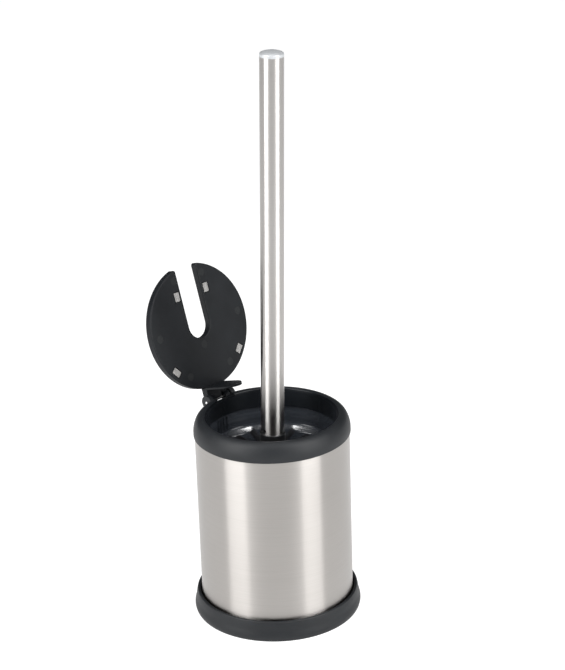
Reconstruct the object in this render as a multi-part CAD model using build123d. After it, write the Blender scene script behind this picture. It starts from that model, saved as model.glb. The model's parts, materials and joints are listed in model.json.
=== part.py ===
"""Toilet brush in a steel holder with a slotted, hinged lid.

Millimetres. The origin is the centre of the holder's underside, +Z is up, and the
lid's hinge pin is parallel to X on the +Y side. The lid is drawn open and the brush
stands in the cup, leaning slightly away from the hinge.
"""

import os
from math import cos, pi, sin

from build123d import *

# ---------------------------------------------------------------- driving dimensions
# Outer sleeve: rolled stainless sheet
SLEEVE_R = 50.0
SLEEVE_T = 0.6
SLEEVE_Z0, SLEEVE_Z1 = 3.0, 126.6
SEAM_W, SEAM_D = 0.8, 0.25  # butt seam at the back

# Base moulding: flared foot, groove for the sleeve, floor for the cup
BASE_R = 55.0
BASE_LIP_Z = 13.6
BASE_FLOOR_Z = 3.6
BASE_PAD_R, BASE_RECESS_R, BASE_RECESS_Z = 20.0, 46.0, 1.2

# Top collar: rounded rim, ledge the closed lid lies on, skirt inside the cup's mouth
COLLAR_R = 50.7
COLLAR_Z0 = 123.6
COLLAR_TOP_Z = 136.0
RIM_TOP_R = 44.6
RECESS_R = 42.8
LEDGE_Z = 134.4
SKIRT_IN_R, SKIRT_OUT_R = 41.8, 43.0
SKIRT_Z0 = 123.4
UNDERSIDE_Z = 128.5
GUIDE_IN_R, GUIDE_OUT_R = 47.6, 49.3
GUIDE_Z0 = 119.5

# Inner cup: wide mouth round the skirt, rounded shoulder, slight taper below it
CUP_TOP_R, CUP_SHOULDER_R, CUP_BOTTOM_R = 45.2, 42.8, 42.2
CUP_TOP_Z, CUP_SHOULDER_Z0, CUP_SHOULDER_Z1 = 126.0, 104.4, 111.8
CUP_WALL, CUP_FLOOR_T = 1.6, 1.8
CUP_RIB_ANGLES = (88.0, 91.7, 95.4, 99.1)

# Hinge: a steel pin through two collar lugs and two lid knuckles
PIN_Y, PIN_Z = 48.5, 133.6
PIN_R, PIN_HALF = 1.0, 11.6
LUG_R, LUG_X0, LUG_X1 = 4.5, 8.2, 11.3
KNUCKLE_R, KNUCKLE_X0, KNUCKLE_X1 = 3.0, 4.2, 8.0
PIN_FIT_LUG, PIN_FIT_KNUCKLE = 0.02, 0.05
NOTCH_FLOOR_Z = 130.1

# Lid, drawn closed and then turned open about the pin
LID_OPEN_DEG = 106.6
LID_R = 41.5
LID_Y = -1.0  # centre of the closed disc
LID_RISE = 0.9  # underside of the closed lid above the pin's axis
PANEL_T = 4.6
COVER_T = 0.5
SLOT_HALF, SLOT_END = 8.95, 1.1
LEVER_L, LEVER_T, LEVER_S = 23.8, 1.4, 7.9
LEVER_HALF, LEVER_STRAIGHT = 8.4, 13.0
# bent tabs of the cover: across, towards the slot's mouth, turn in degrees
TABS = ((12.8, 22.9, 0.0), (-12.8, 22.9, 0.0), (28.3, -23.6, 40.0), (-28.3, -23.6, -40.0))
TAB_L, TAB_W = 6.0, 4.0
EJECTOR_MARKS = ((35.0, 0.7), (-35.0, 0.7), (0.0, -12.5), (18.0, -29.7), (-18.0, -29.7),
                 (12.4, 33.4), (-12.4, 33.4))

# Brush: its axis leans towards -Y and passes through (0, LEAN_Y, LEAN_Z)
LEAN_DEG = 2.4
LEAN_Y, LEAN_Z = -1.0, 135.0
TUBE_R, TUBE_T = 7.5, 0.8
TUBE_Z0, TUBE_Z1 = 116.0, 370.3
CAP_RIM_T, CAP_DOME = 1.2, 2.0
CAP_PLUG_L = 9.0
CROSS_HOLE_R, CROSS_HOLE_Z = 1.2, 125.9
SOCKET_R, SOCKET_Z0, SOCKET_Z1 = 8.3, 113.8, 123.9
SPIGOT_R, SPIGOT_Z1 = 6.6, 137.0
CORE_R, CORE_Z0, CORE_Z1 = 8.5, 16.0, 112.4
CORE_NECK_R = 7.4
TUFT_R0, TUFT_R1 = 1.45, 2.5
TUFT_HOLE_R, TUFT_DEPTH = 1.55, 3.0
TUFTS_PER_ROW = 12
# root height, outer radius and upward tilt in degrees of each row, from the bottom
ROWS = ((23.0, 31.0, -10.0), (32.4, 33.0, 0.0), (41.8, 34.0, 0.0), (51.2, 34.0, 0.0),
        (60.6, 34.0, 0.0), (70.0, 34.0, 0.0), (79.4, 34.0, 0.0), (88.8, 33.0, 0.0),
        (98.2, 31.0, 7.0), (107.6, 28.0, 15.0))
CROWN_Z0 = 5.9
CROWN_RING_R = 5.0
CROWN_TIP_R = 2.0


# ------------------------------------------------------------------------ helpers
def lathe(*curves):
    """A solid of revolution about Z from curves drawn in the X-Z plane."""
    edges = [edge for curve in curves for edge in curve.edges()]
    return revolve(make_face(Wire(edges)), Axis.Z, 360)


def lathe_points(points):
    """A solid of revolution about Z from a closed polygon of (r, z) points."""
    with BuildSketch(Plane.XZ) as sketch:
        with BuildLine():
            Polyline(*points, close=True)
        make_face()
    return revolve(sketch.sketch, Axis.Z, 360)


def box_between(x0, x1, y0, y1, z0, z1):
    """A box from its two corners."""
    centre = ((x0 + x1) / 2, (y0 + y1) / 2, (z0 + z1) / 2)
    return Pos(*centre) * Box(x1 - x0, y1 - y0, z1 - z0)


def rod_x(radius, x0, x1, y, z):
    """A cylinder along X."""
    return Pos((x0 + x1) / 2, y, z) * Rot(0, 90, 0) * Cylinder(radius, x1 - x0)


def opened(shape):
    """Turn a part drawn on the closed lid to its open rest position."""
    turn = Rot(-LID_OPEN_DEG, 0, 0)
    return Pos(0, PIN_Y, PIN_Z) * turn * Pos(0, -PIN_Y, -PIN_Z) * shape


def leaning(shape):
    """Tilt a part drawn upright on the brush's own axis to where the brush stands."""
    return Pos(0, LEAN_Y, LEAN_Z) * Rot(LEAN_DEG, 0, 0) * Pos(0, 0, -LEAN_Z) * shape


# ------------------------------------------------------------------------- holder
def base_ring():
    """Flared foot with a rounded lip, a groove for the sleeve and a cup floor."""
    outer = Plane.XZ * Spline(
        (BASE_R - 0.4, 0.8), (BASE_R, 3.0), (BASE_R - 0.9, 7.0), (53.1, 12.5),
        tangents=((0.35, 1.0), (-0.25, 1.0)))
    lip = Plane.XZ * ThreePointArc((53.1, 12.5), (52.0, BASE_LIP_Z), (50.8, 12.7))
    rest = Plane.XZ * Polyline(
        (50.8, 12.7), (50.7, SLEEVE_Z0), (49.3, SLEEVE_Z0), (49.3, 10.0), (47.6, 10.0),
        (47.4, BASE_FLOOR_Z), (0, BASE_FLOOR_Z), (0, 0), (BASE_PAD_R, 0),
        (BASE_PAD_R + 0.8, BASE_RECESS_Z), (BASE_RECESS_R, BASE_RECESS_Z),
        (BASE_RECESS_R + 0.8, 0), (BASE_R - 0.9, 0), (BASE_R - 0.4, 0.8))
    return lathe(outer, lip, rest)


def outer_sleeve():
    """Rolled steel tube with a fine seam line down its back."""
    height = SLEEVE_Z1 - SLEEVE_Z0
    tube = Cylinder(SLEEVE_R, height) - Cylinder(SLEEVE_R - SLEEVE_T, height)
    tube = Pos(0, 0, (SLEEVE_Z0 + SLEEVE_Z1) / 2) * tube
    seam = box_between(-SEAM_W / 2, SEAM_W / 2, SLEEVE_R - SEAM_D, SLEEVE_R + 1,
                       SLEEVE_Z0 - 1, SLEEVE_Z1 + 1)
    return tube - seam


def top_collar():
    """Rounded rim over the sleeve, with the lid's ledge, the skirt and hinge lugs."""
    outer = Plane.XZ * Spline(
        (COLLAR_R, COLLAR_Z0 + 2.4), (COLLAR_R - 1.0, 131.2), (47.9, 134.4),
        (RIM_TOP_R, COLLAR_TOP_Z), (43.2, 135.6), (RECESS_R, 134.9),
        tangents=((0, 1), (0, -1)))
    rest = Plane.XZ * Polyline(
        (RECESS_R, 134.9), (RECESS_R, LEDGE_Z), (SKIRT_IN_R, LEDGE_Z),
        (SKIRT_IN_R, SKIRT_Z0), (SKIRT_OUT_R - 0.6, SKIRT_Z0), (SKIRT_OUT_R, UNDERSIDE_Z),
        (GUIDE_IN_R, UNDERSIDE_Z), (GUIDE_IN_R, GUIDE_Z0), (GUIDE_OUT_R, GUIDE_Z0),
        (GUIDE_OUT_R, SLEEVE_Z1), (SLEEVE_R + 0.1, SLEEVE_Z1),
        (SLEEVE_R + 0.1, COLLAR_Z0), (COLLAR_R - 0.3, COLLAR_Z0),
        (COLLAR_R, COLLAR_Z0 + 0.3), (COLLAR_R, COLLAR_Z0 + 2.4))
    collar = lathe(outer, rest)
    # room for the lid's neck: shallow over the ledge, deeper at the pin
    collar -= box_between(-LUG_X0, LUG_X0, 38.0, 54.0, LEDGE_Z, 140.0)
    collar -= box_between(-LUG_X0, LUG_X0, 44.6, 54.0, NOTCH_FLOOR_Z, 140.0)
    for side in (-1, 1):
        x0, x1 = sorted((side * LUG_X0, side * LUG_X1))
        lug = rod_x(LUG_R, x0, x1, PIN_Y, PIN_Z)
        lug += box_between(x0, x1, PIN_Y - LUG_R, 50.0, 129.4, PIN_Z)
        collar += lug
    return collar - rod_x(PIN_R + PIN_FIT_LUG, -20, 20, PIN_Y, PIN_Z)


def inner_cup():
    """Liner that the brush stands in, with guide ribs under the hinge."""
    floor_z = BASE_FLOOR_Z + CUP_FLOOR_T
    corner = 7.0
    slope = (CUP_SHOULDER_R - CUP_BOTTOM_R) / (CUP_SHOULDER_Z0 - BASE_FLOOR_Z)
    inside_r = CUP_BOTTOM_R - CUP_WALL + slope * corner
    low_in, top_in = CUP_SHOULDER_R - CUP_WALL, CUP_TOP_R - CUP_WALL
    shoulder_in = Plane.XZ * Spline((low_in, CUP_SHOULDER_Z0), (top_in - 0.2, CUP_SHOULDER_Z1),
                                    tangents=((0.02, 1), (0.02, 1)))
    shoulder_out = Plane.XZ * Spline((CUP_TOP_R - 0.2, CUP_SHOULDER_Z1 - 0.6),
                                     (CUP_SHOULDER_R, CUP_SHOULDER_Z0 - 0.6),
                                     tangents=((-0.02, -1), (-0.02, -1)))
    inside = Plane.XZ * Line((inside_r, floor_z + corner), (low_in, CUP_SHOULDER_Z0))
    mouth = Plane.XZ * Polyline(
        (top_in - 0.2, CUP_SHOULDER_Z1), (top_in, CUP_TOP_Z), (CUP_TOP_R, CUP_TOP_Z),
        (CUP_TOP_R - 0.2, CUP_SHOULDER_Z1 - 0.6))
    outside = Plane.XZ * Polyline(
        (CUP_SHOULDER_R, CUP_SHOULDER_Z0 - 0.6), (CUP_BOTTOM_R, BASE_FLOOR_Z + 3.0),
        (CUP_BOTTOM_R - 3.0, BASE_FLOOR_Z), (0, BASE_FLOOR_Z), (0, floor_z),
        (inside_r - corner, floor_z))
    bend = Plane.XZ * ThreePointArc(
        (inside_r - corner, floor_z),
        (inside_r - corner * (1 - sin(pi / 4)), floor_z + corner * (1 - cos(pi / 4))),
        (inside_r, floor_z + corner))
    cup = lathe(bend, inside, shoulder_in, mouth, shoulder_out, outside)
    for angle in CUP_RIB_ANGLES:
        rib = box_between(42.5, 44.0, -0.4, 0.4, 112.0, 121.5)
        cup += Rot(0, 0, angle) * rib
    return cup


def hinge_pin():
    """Steel pin that the lid turns on, its ends just proud of the lugs."""
    pin = rod_x(PIN_R, -PIN_HALF, PIN_HALF, PIN_Y, PIN_Z)
    return chamfer(pin.edges().filter_by(GeomType.CIRCLE), 0.2)


# ---------------------------------------------------------------------------- lid
def c_disc(radius, slot_half, z0, z1):
    """Disc with a round-ended slot open towards -Y, its horn corners rounded."""
    height = z1 - z0
    disc = Pos(0, LID_Y, (z0 + z1) / 2) * Cylinder(radius, height)
    end_y = LID_Y - SLOT_END
    disc -= Pos(0, end_y, (z0 + z1) / 2) * Cylinder(slot_half, height + 2)
    disc -= box_between(-slot_half, slot_half, end_y - 60, end_y, z0 - 1, z1 + 1)
    horns = [e for e in disc.edges().filter_by(Axis.Z) if e.center().Y < LID_Y - 30]
    return fillet(horns, 1.6)


def tab_place(tab):
    """Where a tab's foot lies on the closed lid's underside."""
    across, towards_mouth, turn = tab
    return Pos(across, LID_Y - towards_mouth, PIN_Z + LID_RISE) * Rot(0, 0, turn)


def lid_panel():
    """Plastic C-shaped panel with its hinge neck and the lever that shuts it."""
    z0, z1 = PIN_Z + LID_RISE, PIN_Z + LID_RISE + PANEL_T
    panel = c_disc(LID_R, SLOT_HALF, z0, z1)
    under = [e for e in panel.edges().filter_by(GeomType.CIRCLE)
             if e.center().Z < z0 + 0.01 and e.radius > LID_R - 1]
    panel = fillet(under, 0.8)
    # neck: reaches between the lugs and over the pin
    panel += box_between(-KNUCKLE_X1, KNUCKLE_X1, 34.0, PIN_Y + 1.2, z0, z1)
    for side in (-1, 1):
        x0, x1 = sorted((side * KNUCKLE_X0, side * KNUCKLE_X1))
        panel += rod_x(KNUCKLE_R, x0, x1, PIN_Y, PIN_Z)
        panel += box_between(x0, x1, 44.9, PIN_Y, PIN_Z, PIN_Z + KNUCKLE_R)
    # closing lever: a round-ended tongue standing off the underside
    with BuildSketch(Plane.XZ) as outline:
        half, top = LEVER_HALF, LID_RISE + 1.0
        with BuildLine():
            Polyline((-half, top), (half, top), (half - 0.2, -LEVER_STRAIGHT))
            Spline((half - 0.2, -LEVER_STRAIGHT), (5.7, -19.4), (0, -LEVER_L),
                   (-5.7, -19.4), (-half + 0.2, -LEVER_STRAIGHT),
                   tangents=((-0.1, -1), (-0.1, 1)))
            Line((-half + 0.2, -LEVER_STRAIGHT), (-half, top))
        make_face()
    lever = extrude(outline.sketch, LEVER_T / 2, both=True)
    lever = fillet(lever.faces().sort_by(Axis.Y)[-1].edges().sort_by(Axis.Z)[:-1], 0.4)
    panel += Pos(0, PIN_Y - LEVER_S - LEVER_T / 2, PIN_Z) * lever
    for tab in TABS:
        panel -= tab_place(tab) * box_between(-TAB_W / 2 - 0.4, TAB_W / 2 + 0.4,
                                              -TAB_L / 2 - 0.4, TAB_L / 2 + 0.5, -1, 0.7)
        panel -= tab_place(tab) * box_between(-TAB_W / 2 - 0.3, TAB_W / 2 + 0.3,
                                              TAB_L / 2 - 0.7, TAB_L / 2 + 0.2, -1, 9)
    for across, towards_mouth in EJECTOR_MARKS:
        panel -= Pos(across, LID_Y - towards_mouth, z0) * Cylinder(2.6, 0.2)
    panel -= rod_x(PIN_R + PIN_FIT_KNUCKLE, -20, 20, PIN_Y, PIN_Z)
    return opened(panel)


def lid_cover():
    """Steel sheet over the panel's top, held by four tabs bent over underneath."""
    z0 = PIN_Z + LID_RISE + PANEL_T
    cover = c_disc(LID_R - 0.3, SLOT_HALF + 0.3, z0, z0 + COVER_T)
    for tab in TABS:
        leg = box_between(-TAB_W / 2, TAB_W / 2, TAB_L / 2 - 0.5, TAB_L / 2, 0.1,
                          PANEL_T + 0.1)
        foot = box_between(-TAB_W / 2, TAB_W / 2, -TAB_L / 2, TAB_L / 2, 0.1, 0.6)
        cover += tab_place(tab) * (leg + foot)
    return opened(cover)


# -------------------------------------------------------------------------- brush
def handle_tube():
    """Long steel tube with a small hole across it near the brush head."""
    height = TUBE_Z1 - TUBE_Z0
    tube = Cylinder(TUBE_R, height) - Cylinder(TUBE_R - TUBE_T, height)
    tube = Pos(0, 0, (TUBE_Z0 + TUBE_Z1) / 2) * tube
    return leaning(tube - rod_x(CROSS_HOLE_R, -20, 20, 0, CROSS_HOLE_Z))


def handle_cap():
    """Low domed cap that plugs the top of the tube."""
    plug_r = TUBE_R - TUBE_T - 0.05
    edge = Plane.XZ * Spline(
        (TUBE_R, TUBE_Z1 + CAP_RIM_T), (TUBE_R - 1.1, TUBE_Z1 + CAP_RIM_T + 1.25),
        (0, TUBE_Z1 + CAP_RIM_T + CAP_DOME), tangents=((0, 1), (-1, 0)))
    rest = Plane.XZ * Polyline(
        (0, TUBE_Z1 + CAP_RIM_T + CAP_DOME), (0, TUBE_Z1 - CAP_PLUG_L),
        (plug_r - 0.6, TUBE_Z1 - CAP_PLUG_L), (plug_r, TUBE_Z1 - CAP_PLUG_L + 1.2),
        (plug_r, TUBE_Z1), (TUBE_R, TUBE_Z1), (TUBE_R, TUBE_Z1 + CAP_RIM_T))
    return leaning(lathe(edge, rest))


def tuft_places():
    """(row, location of the tuft's root, tuft's length) for every tuft in the rows."""
    root_r = CORE_R - TUFT_DEPTH
    for row, (height, reach, tilt) in enumerate(ROWS):
        for k in range(TUFTS_PER_ROW):
            angle = 360.0 * (k + 0.5 * (row % 2)) / TUFTS_PER_ROW
            place = Pos(0, 0, height) * Rot(0, 0, angle) * Pos(root_r, 0, 0)
            yield row, place * Rot(0, 90 - tilt, 0), (reach - root_r) / cos(tilt * pi / 180)


def crown_places():
    """Roots of the tufts on the bottom of the head: one in the middle, six around."""
    yield Pos(0, 0, CORE_Z0 + TUFT_DEPTH)
    for k in range(6):
        yield Rot(0, 0, 60 * k) * Pos(CROWN_RING_R, 0, CORE_Z0 + TUFT_DEPTH)


def brush_core():
    """Moulded head: tuft block, socket round the tube's end, spigot inside it."""
    core = lathe_points((
        (0, CORE_Z0), (CORE_R - 1.5, CORE_Z0), (CORE_R, CORE_Z0 + 1.5), (CORE_R, CORE_Z1),
        (CORE_NECK_R, CORE_Z1 + 0.8), (CORE_NECK_R, SOCKET_Z0), (SOCKET_R, SOCKET_Z0 + 1.2),
        (SOCKET_R, SOCKET_Z1 - 0.5), (SOCKET_R - 0.4, SOCKET_Z1),
        (TUBE_R + 0.06, SOCKET_Z1), (TUBE_R + 0.06, TUBE_Z0), (SPIGOT_R, TUBE_Z0),
        (SPIGOT_R, SPIGOT_Z1 - 1.0), (SPIGOT_R - 1.0, SPIGOT_Z1), (0, SPIGOT_Z1)))
    for side in (-1, 1):
        core -= rod_x(CROSS_HOLE_R, *sorted((side * 5.2, side * 9)), 0, CROSS_HOLE_Z)
    hole = Pos(0, 0, 5) * Cylinder(TUFT_HOLE_R, 10)
    core -= [place * hole for _, place, _ in tuft_places()]
    core -= [place * Pos(0, 0, -10) * hole for place in crown_places()]
    return leaning(core)


def tuft(length, tip_r=TUFT_R1):
    """One bundle of bristles: straight in its hole, then spreading to its tip."""
    return lathe_points((
        (0, 0), (TUFT_R0, 0), (TUFT_R0, TUFT_DEPTH + 0.6), (tip_r, length), (0, length)))


def bristle_row(row):
    """All the tufts of one row round the head."""
    return Compound(children=[
        leaning(place * tuft(length)) for r, place, length in tuft_places() if r == row])


def bristle_crown():
    """The tufts on the bottom of the head, pointing down."""
    length = CORE_Z0 + TUFT_DEPTH - CROWN_Z0
    return Compound(children=[
        leaning(place * Rot(180, 0, 0) * tuft(length, CROWN_TIP_R))
        for place in crown_places()])


# ------------------------------------------------------------------------- output
def main():
    os.makedirs("parts", exist_ok=True)
    parts = {
        "base_ring": base_ring(),
        "outer_sleeve": outer_sleeve(),
        "top_collar": top_collar(),
        "inner_cup": inner_cup(),
        "hinge_pin": hinge_pin(),
        "lid_panel": lid_panel(),
        "lid_cover": lid_cover(),
        "handle_tube": handle_tube(),
        "handle_cap": handle_cap(),
        "brush_core": brush_core(),
        "bristle_crown": bristle_crown(),
    }
    for row in range(len(ROWS)):
        parts[f"bristle_row_{row + 1}"] = bristle_row(row)
    for name, shape in parts.items():
        export_step(shape, f"parts/{name}.step")


main()
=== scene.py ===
"""Looks for the toilet brush in its steel holder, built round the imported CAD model."""

import json
import math
import random

import bpy
from mathutils import Matrix, Vector


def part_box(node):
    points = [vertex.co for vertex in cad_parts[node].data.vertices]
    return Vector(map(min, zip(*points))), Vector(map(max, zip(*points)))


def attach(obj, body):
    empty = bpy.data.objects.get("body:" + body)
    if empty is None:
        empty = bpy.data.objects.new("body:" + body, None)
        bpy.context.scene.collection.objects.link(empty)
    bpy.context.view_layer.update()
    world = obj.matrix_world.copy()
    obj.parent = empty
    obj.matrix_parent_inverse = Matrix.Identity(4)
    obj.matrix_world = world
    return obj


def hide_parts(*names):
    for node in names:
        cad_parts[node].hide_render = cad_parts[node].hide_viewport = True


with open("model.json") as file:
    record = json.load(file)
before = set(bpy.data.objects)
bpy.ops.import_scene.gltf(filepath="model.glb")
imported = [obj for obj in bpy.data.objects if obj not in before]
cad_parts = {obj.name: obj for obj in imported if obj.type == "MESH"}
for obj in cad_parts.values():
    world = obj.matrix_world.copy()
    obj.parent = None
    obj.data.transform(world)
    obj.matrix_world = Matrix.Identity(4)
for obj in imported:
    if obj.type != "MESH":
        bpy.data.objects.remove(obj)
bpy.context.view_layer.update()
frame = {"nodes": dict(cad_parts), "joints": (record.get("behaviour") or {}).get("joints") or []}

nodes = frame["nodes"]

# ------------------------------------------------------------------ camera
CAMERA_SIDE_DEG = 44.83      # how far the camera stands round from -Y towards -X
CAMERA_DISTANCE = 1.1203     # level distance from the holder's axis
CAMERA_HEIGHT = 0.6191
CAMERA_DOWN_DEG = 20.98      # tilt below the horizon
CAMERA_PAN_DEG = 0.447       # aimed slightly to the right of the holder's axis
CAMERA_ROLL_DEG = -1.885
CAMERA_LENS_MM = 102.04      # on a 36 mm high frame


def turned(x, y):
    """A level vector in the shared frame, given across and away as the camera sees it."""
    side = math.radians(CAMERA_SIDE_DEG)
    across = Vector((math.cos(side), -math.sin(side), 0))
    away = Vector((math.sin(side), math.cos(side), 0))
    return across * x + away * y


def add_camera():
    down, pan, roll = (math.radians(v) for v in
                       (CAMERA_DOWN_DEG, CAMERA_PAN_DEG, CAMERA_ROLL_DEG))
    forward = turned(math.sin(pan), math.cos(pan)) * math.cos(down)
    forward.z = -math.sin(down)
    right = turned(math.cos(pan), -math.sin(pan))
    up = right.cross(forward)
    rolled_right = right * math.cos(roll) + up * math.sin(roll)
    rolled_up = up * math.cos(roll) - right * math.sin(roll)
    place = turned(0, -CAMERA_DISTANCE)
    place.z = CAMERA_HEIGHT
    camera = bpy.data.cameras.new("camera")
    camera.sensor_width = 36
    camera.lens = CAMERA_LENS_MM
    camera.clip_start, camera.clip_end = 0.01, 50
    obj = bpy.data.objects.new("camera", camera)
    obj.matrix_world = Matrix((
        (rolled_right.x, rolled_up.x, -forward.x, place.x),
        (rolled_right.y, rolled_up.y, -forward.y, place.y),
        (rolled_right.z, rolled_up.z, -forward.z, place.z),
        (0, 0, 0, 1)))
    bpy.context.scene.collection.objects.link(obj)
    bpy.context.scene.camera = obj


# ---------------------------------------------------------- lights and floor
SOFTBOX_AIM = (0, 0, 0.1)
FLOOR_HALF = 5.0
FLOOR_GREY = 0.28
FLOOR_GLOW = 0.945           # the floor gives off light, so that it reads as plain white
ROOM_LIGHT = 0.10            # the world's strength for every ray but the camera's


def add_softbox(name, across, away, height, size, watts):
    """A soft rectangular light, placed as the camera sees it."""
    light = bpy.data.lights.new(name, "AREA")
    light.shape = "RECTANGLE"
    light.size, light.size_y = size
    light.energy = watts
    obj = bpy.data.objects.new(name, light)
    obj.location = turned(across, away) + Vector((0, 0, height))
    obj.rotation_euler = (Vector(SOFTBOX_AIM) - obj.location).to_track_quat("-Z", "Y").to_euler()
    bpy.context.scene.collection.objects.link(obj)


def add_stage():
    """A white floor, a world that is white to the camera only, and three softboxes."""
    mesh = bpy.data.meshes.new("floor")
    half = FLOOR_HALF
    mesh.from_pydata([(-half, -half, 0), (half, -half, 0), (half, half, 0), (-half, half, 0)],
                     [], [(0, 1, 2, 3)])
    floor = bpy.data.objects.new("floor", mesh)
    bpy.context.scene.collection.objects.link(floor)
    mat = bpy.data.materials.new("floor_white")
    mat.use_nodes = True
    shader = mat.node_tree.nodes["Principled BSDF"]
    shader.inputs["Base Color"].default_value = (FLOOR_GREY, FLOOR_GREY, FLOOR_GREY, 1)
    shader.inputs["Roughness"].default_value = 0.9
    shader.inputs["Specular IOR Level"].default_value = 0.1
    shader.inputs["Emission Color"].default_value = (1, 1, 1, 1)
    shader.inputs["Emission Strength"].default_value = FLOOR_GLOW
    mesh.materials.append(mat)

    world = bpy.data.worlds.new("studio")
    bpy.context.scene.world = world
    world.use_nodes = True
    tree = world.node_tree
    tree.nodes.clear()
    room = tree.nodes.new("ShaderNodeBackground")
    room.inputs["Color"].default_value = (1, 1, 1, 1)
    room.inputs["Strength"].default_value = ROOM_LIGHT
    white = tree.nodes.new("ShaderNodeBackground")
    white.inputs["Color"].default_value = (1, 1, 1, 1)
    white.inputs["Strength"].default_value = 1.0
    path = tree.nodes.new("ShaderNodeLightPath")
    mix = tree.nodes.new("ShaderNodeMixShader")
    out = tree.nodes.new("ShaderNodeOutputWorld")
    tree.links.new(path.outputs["Is Camera Ray"], mix.inputs["Fac"])
    tree.links.new(room.outputs[0], mix.inputs[1])
    tree.links.new(white.outputs[0], mix.inputs[2])
    tree.links.new(mix.outputs[0], out.inputs["Surface"])

    bpy.context.scene.view_settings.view_transform = "Standard"

    add_softbox("key_left", -0.96, -0.66, 0.80, (0.80, 1.6), 25.5)
    add_softbox("key_right", 0.93, -0.68, 0.80, (0.76, 1.6), 24)
    add_softbox("overhead", 0.0, 0.1, 1.5, (0.8, 0.8), 3)


# ----------------------------------------------------------------- materials
LID_OPEN_DEG = 106.6
LID_FACE_RISE = 0.0009       # the lid's underside above the pin's axis
MARK_COLOUR = (0.0125, 0.0138, 0.0150)
MARK_STARTS = (0.00004, 0.00006)   # depths between which the ejector marks' tint fades in
MARK_ENDS = (0.00014, 0.00016)     # and out again
BORE_R = 0.0434
BORE_BLEND = 0.0004          # half the width over which the bore's finish changes
LEAN_DEG = 2.4               # the brush's lean, which its handle's brushing follows


class Surface:
    """A node material with short ways to add the nodes that every surface here uses."""

    def __init__(self, name):
        self.material = bpy.data.materials.new(name)
        self.material.use_nodes = True
        self.tree = self.material.node_tree
        self.shader = self.tree.nodes["Principled BSDF"]
        self.place = self.add("ShaderNodeTexCoord").outputs["Object"]

    def add(self, kind, **settings):
        node = self.tree.nodes.new(kind)
        for key, value in settings.items():
            setattr(node, key, value)
        return node

    def join(self, source, target):
        self.tree.links.new(source, target)

    def set(self, **values):
        """Set shader sockets by name, with underscores for spaces."""
        for key, value in values.items():
            self.shader.inputs[key.replace("_", " ")].default_value = value

    def stretched(self, scale, rotation=(0, 0, 0)):
        """The object's own coordinates, scaled per axis after a turn."""
        turn = self.add("ShaderNodeMapping")
        turn.inputs["Rotation"].default_value = rotation
        self.join(self.place, turn.inputs["Vector"])
        node = self.add("ShaderNodeMapping")
        node.inputs["Scale"].default_value = scale
        self.join(turn.outputs["Vector"], node.inputs["Vector"])
        return node.outputs["Vector"]

    def noise(self, vector, scale=1.0, detail=2.0, roughness=0.5):
        node = self.add("ShaderNodeTexNoise")
        node.inputs["Scale"].default_value = scale
        node.inputs["Detail"].default_value = detail
        node.inputs["Roughness"].default_value = roughness
        self.join(vector, node.inputs["Vector"])
        return node.outputs["Fac"]

    def ramp(self, source, low, high, from_low=0.3, from_high=0.7):
        """source mapped from one span of values to another, clamped."""
        node = self.add("ShaderNodeMapRange")
        for key, value in (("From Min", from_low), ("From Max", from_high),
                           ("To Min", low), ("To Max", high)):
            node.inputs[key].default_value = value
        self.join(source, node.inputs["Value"])
        return node.outputs["Result"]

    def add_up(self, a, b, share=0.5):
        """A weighted mean of two values."""
        node = self.add("ShaderNodeMix")
        node.data_type = "FLOAT"
        node.inputs[0].default_value = share
        self.join(a, node.inputs[2])
        self.join(b, node.inputs[3])
        return node.outputs[0]

    def colour(self, source, dark, light):
        node = self.add("ShaderNodeMix")
        node.data_type = "RGBA"
        node.inputs[6].default_value = (*dark, 1)
        node.inputs[7].default_value = (*light, 1)
        self.join(source, node.inputs[0])
        self.join(node.outputs[2], self.shader.inputs["Base Color"])

    def roughness(self, source, low, high):
        self.join(self.ramp(source, low, high), self.shader.inputs["Roughness"])

    def bump(self, source, depth, strength=1.0):
        node = self.add("ShaderNodeBump")
        node.inputs["Distance"].default_value = depth
        node.inputs["Strength"].default_value = strength
        self.join(source, node.inputs["Height"])
        self.join(node.outputs["Normal"], self.shader.inputs["Normal"])


def brushed_steel(name, line_scale, turn=(0, 0, 0), low=0.275, high=0.305,
                  dark=(0.402, 0.383, 0.365), light=(0.452, 0.432, 0.414), depth=0.000004):
    """Satin steel with fine lines along the directions whose scale is small."""
    s = Surface(name)
    fine = s.noise(s.stretched(line_scale, turn), 1.0, 3.0, 0.65)
    coarse = s.noise(s.stretched([v * 0.22 for v in line_scale], turn), 1.0, 2.0, 0.5)
    cloud = s.noise(s.place, 14.0, 2.0)
    lines = s.add_up(fine, coarse, 0.15)
    s.colour(s.ramp(s.add_up(lines, cloud, 0.3), 0, 1, 0.38, 0.62), dark, light)
    s.roughness(lines, low, high)
    s.bump(lines, depth, 0.5)
    s.set(Metallic=1.0)
    return s


def smooth_bore(surface, radius, rough, specular):
    """Smoother and less shiny inside this radius, where the mould's core made the face."""
    flat = surface.add("ShaderNodeVectorMath", operation="MULTIPLY")
    flat.inputs[1].default_value = (1, 1, 0)
    surface.join(surface.place, flat.inputs[0])
    length = surface.add("ShaderNodeVectorMath", operation="LENGTH")
    surface.join(flat.outputs["Vector"], length.inputs[0])
    outside = surface.ramp(length.outputs["Value"], 0, 1, radius - BORE_BLEND,
                           radius + BORE_BLEND)
    for socket, inner in (("Roughness", rough), ("Specular IOR Level", specular)):
        target = surface.shader.inputs[socket]
        mix = surface.add("ShaderNodeMix")
        mix.data_type = "FLOAT"
        mix.inputs[2].default_value = inner
        mix.inputs[3].default_value = target.default_value
        if target.is_linked:
            surface.join(target.links[0].from_socket, mix.inputs[3])
        surface.join(outside, mix.inputs[0])
        surface.join(mix.outputs[0], target)


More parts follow.
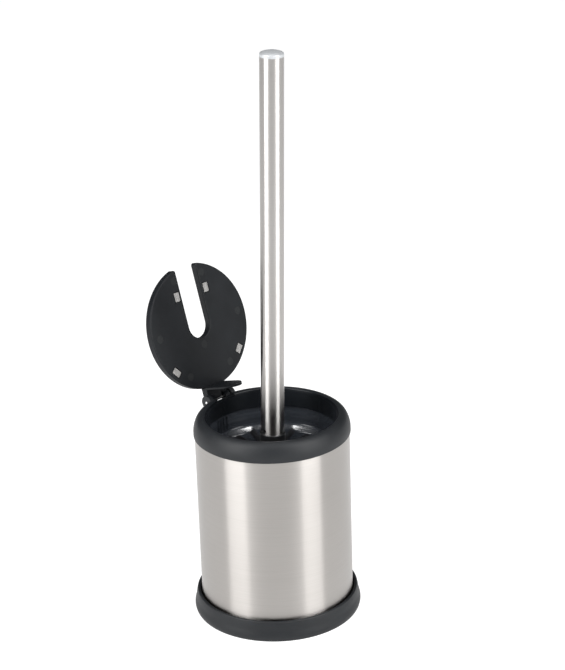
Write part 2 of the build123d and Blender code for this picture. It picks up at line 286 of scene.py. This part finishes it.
def moulding_marks(surface):
    """Lighten the shallow round marks that ejector pins left in the lid's underside."""
    hinge = next(j for j in frame["joints"] if j["name"] == "lid_hinge")
    angle = math.radians(LID_OPEN_DEG)
    normal = Vector((0, math.sin(angle), math.cos(angle)))
    along = surface.add("ShaderNodeVectorMath", operation="DOT_PRODUCT")
    along.inputs[1].default_value = normal
    surface.join(surface.place, along.inputs[0])
    face = Vector(hinge["pos_m"]).dot(normal) + LID_FACE_RISE
    start = surface.ramp(along.outputs["Value"], 0, 1, face + MARK_STARTS[0],
                         face + MARK_STARTS[1])
    stop = surface.ramp(along.outputs["Value"], 1, 0, face + MARK_ENDS[0],
                        face + MARK_ENDS[1])
    inside = surface.add("ShaderNodeMath", operation="MULTIPLY")
    surface.join(start, inside.inputs[0])
    surface.join(stop, inside.inputs[1])
    target = surface.shader.inputs["Base Color"]
    mix = surface.add("ShaderNodeMix")
    mix.data_type = "RGBA"
    surface.join(target.links[0].from_socket, mix.inputs[6])
    mix.inputs[7].default_value = (*MARK_COLOUR, 1)
    surface.join(inside.outputs[0], mix.inputs[0])
    surface.join(mix.outputs[2], target)


def stretch_upright(surface, amount):
    """Stretch reflections upright, as fine lines running round a cylinder do."""
    surface.set(Anisotropic=amount, Anisotropic_Rotation=0.25)
    tangent = surface.add("ShaderNodeTangent", direction_type="RADIAL", axis="Z")
    surface.join(tangent.outputs["Tangent"], surface.shader.inputs["Tangent"])


def moulded(name, dark, light, low, high):
    """Fine-grained moulded plastic."""
    s = Surface(name)
    grain = s.noise(s.place, 9000.0, 2.0, 0.6)
    cloud = s.noise(s.place, 60.0, 4.0, 0.6)
    s.colour(s.ramp(cloud, 0, 1), dark, light)
    s.roughness(s.add_up(grain, cloud, 0.5), low, high)
    s.bump(grain, 0.00003, 0.4)
    s.set(Metallic=0.0)
    return s


def glossy_liner(name):
    """Glossy black plastic with faint rings left by its mould."""
    s = Surface(name)
    rings = s.noise(s.stretched((6, 6, 900)), 1.0, 3.0, 0.6)
    cloud = s.noise(s.place, 45.0, 3.0)
    s.colour(s.ramp(rings, 0, 1), (0.026, 0.030, 0.037), (0.062, 0.070, 0.084))
    s.roughness(s.add_up(rings, cloud, 0.5), 0.08, 0.15)
    s.bump(rings, 0.00006, 0.6)
    s.set(Metallic=0.0, Specular_IOR_Level=1.0, IOR=1.9,
          Coat_Weight=1.0, Coat_Roughness=0.10, Coat_IOR=2.0)
    return s


def nylon(name):
    """Black bristle filament with faint streaks."""
    s = Surface(name)
    streak = s.noise(s.place, 700.0, 2.0)
    s.colour(s.ramp(streak, 0, 1), (0.006, 0.006, 0.007), (0.022, 0.023, 0.026))
    s.roughness(streak, 0.28, 0.42)
    s.bump(streak, 0.00002, 0.3)
    return s


def dress(node, surface):
    """Give a CAD node its material."""
    obj = nodes[node]
    if not obj.material_slots:
        obj.data.materials.append(None)
    for slot in obj.material_slots:
        slot.material = surface.material


# ------------------------------------------------------------------ bristles
STRANDS_PER_TUFT = 34
STRAND_R = 0.00016
TUFTS_PER_ROW = 12
ROW_COUNT = len([n for n in nodes if n.startswith("bristle_row_")])
ROOT_R = 0.0055          # where the tufts start, from the brush's axis
TUFT_SPREAD = 0.0023
TUFT_GATHER = 0.0012         # how far apart the bristles stand at a tuft's root
TUFT_DROOP = 0.0006
GOLDEN_ANGLE = 2.399963      # spreads the bristles evenly over a tuft
POINTS_PER_STRAND = 6
CROWN_RING_R = 0.005
CROWN_SEED, FIRST_ROW_SEED = 99, 100


def strand(verts, faces, points, radius):
    """Add one bristle: a thin square tube through the points, closed at its tip."""
    start = len(verts)
    sides = 4
    for i, p in enumerate(points):
        along = (points[min(i + 1, len(points) - 1)] - points[max(i - 1, 0)]).normalized()
        across = along.orthogonal().normalized()
        other = along.cross(across)
        thin = radius * (0.6 if i == len(points) - 1 else 1.0)
        for k in range(sides):
            a = 2 * math.pi * k / sides
            verts.append(p + across * math.cos(a) * thin + other * math.sin(a) * thin)
    for i in range(len(points) - 1):
        for k in range(sides):
            a, b = start + i * sides + k, start + i * sides + (k + 1) % sides
            faces.append((a, b, b + sides, a + sides))
    faces.append(tuple(start + k for k in reversed(range(sides))))
    last = start + (len(points) - 1) * sides
    faces.append(tuple(last + k for k in range(sides)))


def bristle_mesh(name, replaced, tufts, seed):
    """A piece of many bristles. tufts holds (root, direction, length, droop)."""
    rng = random.Random(seed)
    verts, faces = [], []
    for root, direction, length, droop in tufts:
        across = direction.orthogonal().normalized()
        other = direction.cross(across)
        for k in range(STRANDS_PER_TUFT):
            angle = GOLDEN_ANGLE * k
            r = math.sqrt((k + 0.5) / STRANDS_PER_TUFT)
            out = across * math.cos(angle) * r + other * math.sin(angle) * r
            reach = length * (1.0 - 0.05 * rng.random())
            tip = out * TUFT_SPREAD * (0.8 + 0.4 * rng.random())
            points = []
            for i in range(POINTS_PER_STRAND):
                t = i / (POINTS_PER_STRAND - 1)
                p = root + direction * reach * t + out * TUFT_GATHER
                p += (tip - out * TUFT_GATHER) * t * t + droop * t * t
                points.append(p)
            strand(verts, faces, points, STRAND_R)
    mesh = bpy.data.meshes.new(name)
    mesh.from_pydata(verts, [], faces)
    mesh.update()
    obj = bpy.data.objects.new(name, mesh)
    bpy.context.scene.collection.objects.link(obj)
    mesh.materials.append(bristle_surface.material)
    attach(obj, "brush")
    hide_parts(replaced)


def brush_axes():
    """Unit vectors across, back and up, seen from the leaning brush."""
    lift = next(j for j in frame["joints"] if j["name"] == "brush_lift")
    up = Vector(lift["axis"]).normalized()
    back = up.cross(Vector((1, 0, 0))).normalized()
    return back.cross(up), back, up


def row_tilt(row):
    """Upward tilt of a row's tufts in degrees, as they fan out at both ends."""
    return {0: -10.0, ROW_COUNT - 2: 7.0, ROW_COUNT - 1: 15.0}.get(row, 0.0)


def add_bristles():
    """Replace every row of solid tufts, and the crown, with single bristles."""
    across, back, up = brush_axes()
    for row in range(ROW_COUNT):
        name = f"bristle_row_{row + 1}"
        low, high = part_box(name)
        low, high = Vector(low), Vector(high)
        centre = (low + high) / 2
        reach = (high.x - low.x) / 2
        tilt = math.radians(row_tilt(row))
        centre -= up * (math.tan(tilt) * reach / 2)
        tufts = []
        for k in range(TUFTS_PER_ROW):
            a = 2 * math.pi * (k + 0.5 * (row % 2)) / TUFTS_PER_ROW
            level = across * math.cos(a) + back * math.sin(a)
            direction = (level * math.cos(tilt) + up * math.sin(tilt)).normalized()
            length = (reach - ROOT_R) / math.cos(tilt)
            tufts.append((centre + level * ROOT_R, direction, length, up * -TUFT_DROOP))
        bristle_mesh(f"bristles_{row + 1}", name, tufts, FIRST_ROW_SEED + row)
    low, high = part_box("bristle_crown")
    low, high = Vector(low), Vector(high)
    middle = (low + high) / 2
    root_up = up * ((high.z - low.z) / 2 - 0.0003)
    tufts = []
    for k in range(7):
        a = 2 * math.pi * k / 6
        level = (across * math.cos(a) + back * math.sin(a)) * (0.0 if k == 6 else CROWN_RING_R)
        tufts.append((middle + level + root_up, -up, high.z - low.z - 0.0006, level * 0.2))
    bristle_mesh("bristles_end", "bristle_crown", tufts, CROWN_SEED)


# ---------------------------------------------------------------------- build
add_camera()
add_stage()

bristle_surface = nylon("nylon_bristle")
lean = math.radians(LEAN_DEG)
black = moulded("black_moulding", (0.007, 0.0082, 0.010), (0.011, 0.0127, 0.0150), 0.46, 0.58)
lid_black = moulded("lid_moulding", (0.004, 0.005, 0.0065), (0.007, 0.0084, 0.0105), 0.44, 0.56)
core_black = moulded("core_moulding", (0.006, 0.0065, 0.007), (0.011, 0.0115, 0.0125), 0.3, 0.45)
sleeve_steel = brushed_steel("sleeve_steel", (24, 24, 6500))
handle_steel = brushed_steel("handle_steel", (60, 60, 5200), (-lean, 0, 0), 0.28, 0.33,
                             (0.50, 0.483, 0.466), (0.56, 0.543, 0.526))
stretch_upright(sleeve_steel, 1.0)
stretch_upright(handle_steel, 1.0)
cover_steel = brushed_steel("cover_steel", (3000, 24, 24), (0, 0, 0), 0.34, 0.42,
                            (0.40, 0.39, 0.38), (0.50, 0.49, 0.48))
cap_steel = brushed_steel("cap_steel", (700, 700, 700), (0, 0, 0), 0.42, 0.50,
                          (0.46, 0.475, 0.49), (0.52, 0.535, 0.55))
cap_steel.set(Metallic=0.4)
pin_steel = brushed_steel("pin_steel", (20, 3000, 3000), (0, 0, 0), 0.12, 0.2,
                          (0.72, 0.72, 0.72), (0.85, 0.85, 0.85))
liner = glossy_liner("liner_gloss")
stretch_upright(liner, 0.4)

black.set(Specular_IOR_Level=0.33)
lid_black.set(Specular_IOR_Level=0.22)
moulding_marks(lid_black)
collar_black = moulded("collar_moulding", (0.007, 0.0082, 0.010),
                       (0.011, 0.0127, 0.0150), 0.46, 0.58)
collar_black.set(Specular_IOR_Level=0.36)
smooth_bore(collar_black, BORE_R, 0.24, 0.20)

dress("outer_sleeve", sleeve_steel)
dress("base_ring", black)
dress("top_collar", collar_black)
dress("inner_cup", liner)
dress("hinge_pin", pin_steel)
dress("lid_panel", lid_black)
dress("lid_cover", cover_steel)
dress("handle_tube", handle_steel)
dress("handle_cap", cap_steel)
dress("brush_core", core_black)
add_bristles()

bpy.context.view_layer.update()
